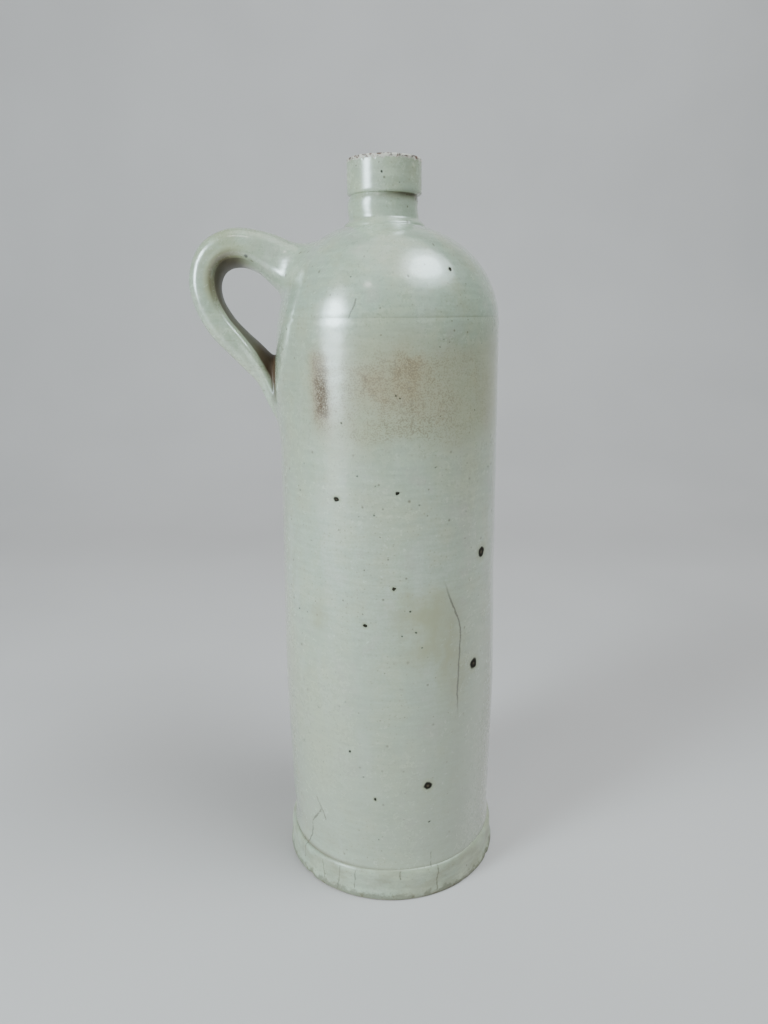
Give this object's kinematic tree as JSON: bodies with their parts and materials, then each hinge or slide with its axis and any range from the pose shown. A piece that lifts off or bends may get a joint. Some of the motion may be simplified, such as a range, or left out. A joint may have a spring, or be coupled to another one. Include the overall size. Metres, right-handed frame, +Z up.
{
  "type": "stoneware bottle",
  "caption": "Tall straight-sided stoneware bottle with a domed shoulder, short ringed neck and a pulled loop handle; holds and pours a drink and is closed with a cork.",
  "frame": {"origin": "centre of the flat underside, on the bottle's axis", "axes": "+Z up the bottle's axis, from the base to the mouth; the handle stands out along -X, in the XZ plane"},
  "size_m": [0.1245, 0.0934, 0.2937],
  "materials": {
    "salt_glazed_stoneware": "glossy pale grey-green glaze over stoneware, freckled with iron, with a brown blush below the shoulder and a few bare chips on the rim"
  },
  "bodies": {
    "root": {"base": "salt_glazed_stoneware", "barrel": "salt_glazed_stoneware", "shoulder": "salt_glazed_stoneware", "neck": "salt_glazed_stoneware", "lip_ring": "salt_glazed_stoneware", "handle": "salt_glazed_stoneware"}
  },
  "joints": []
}
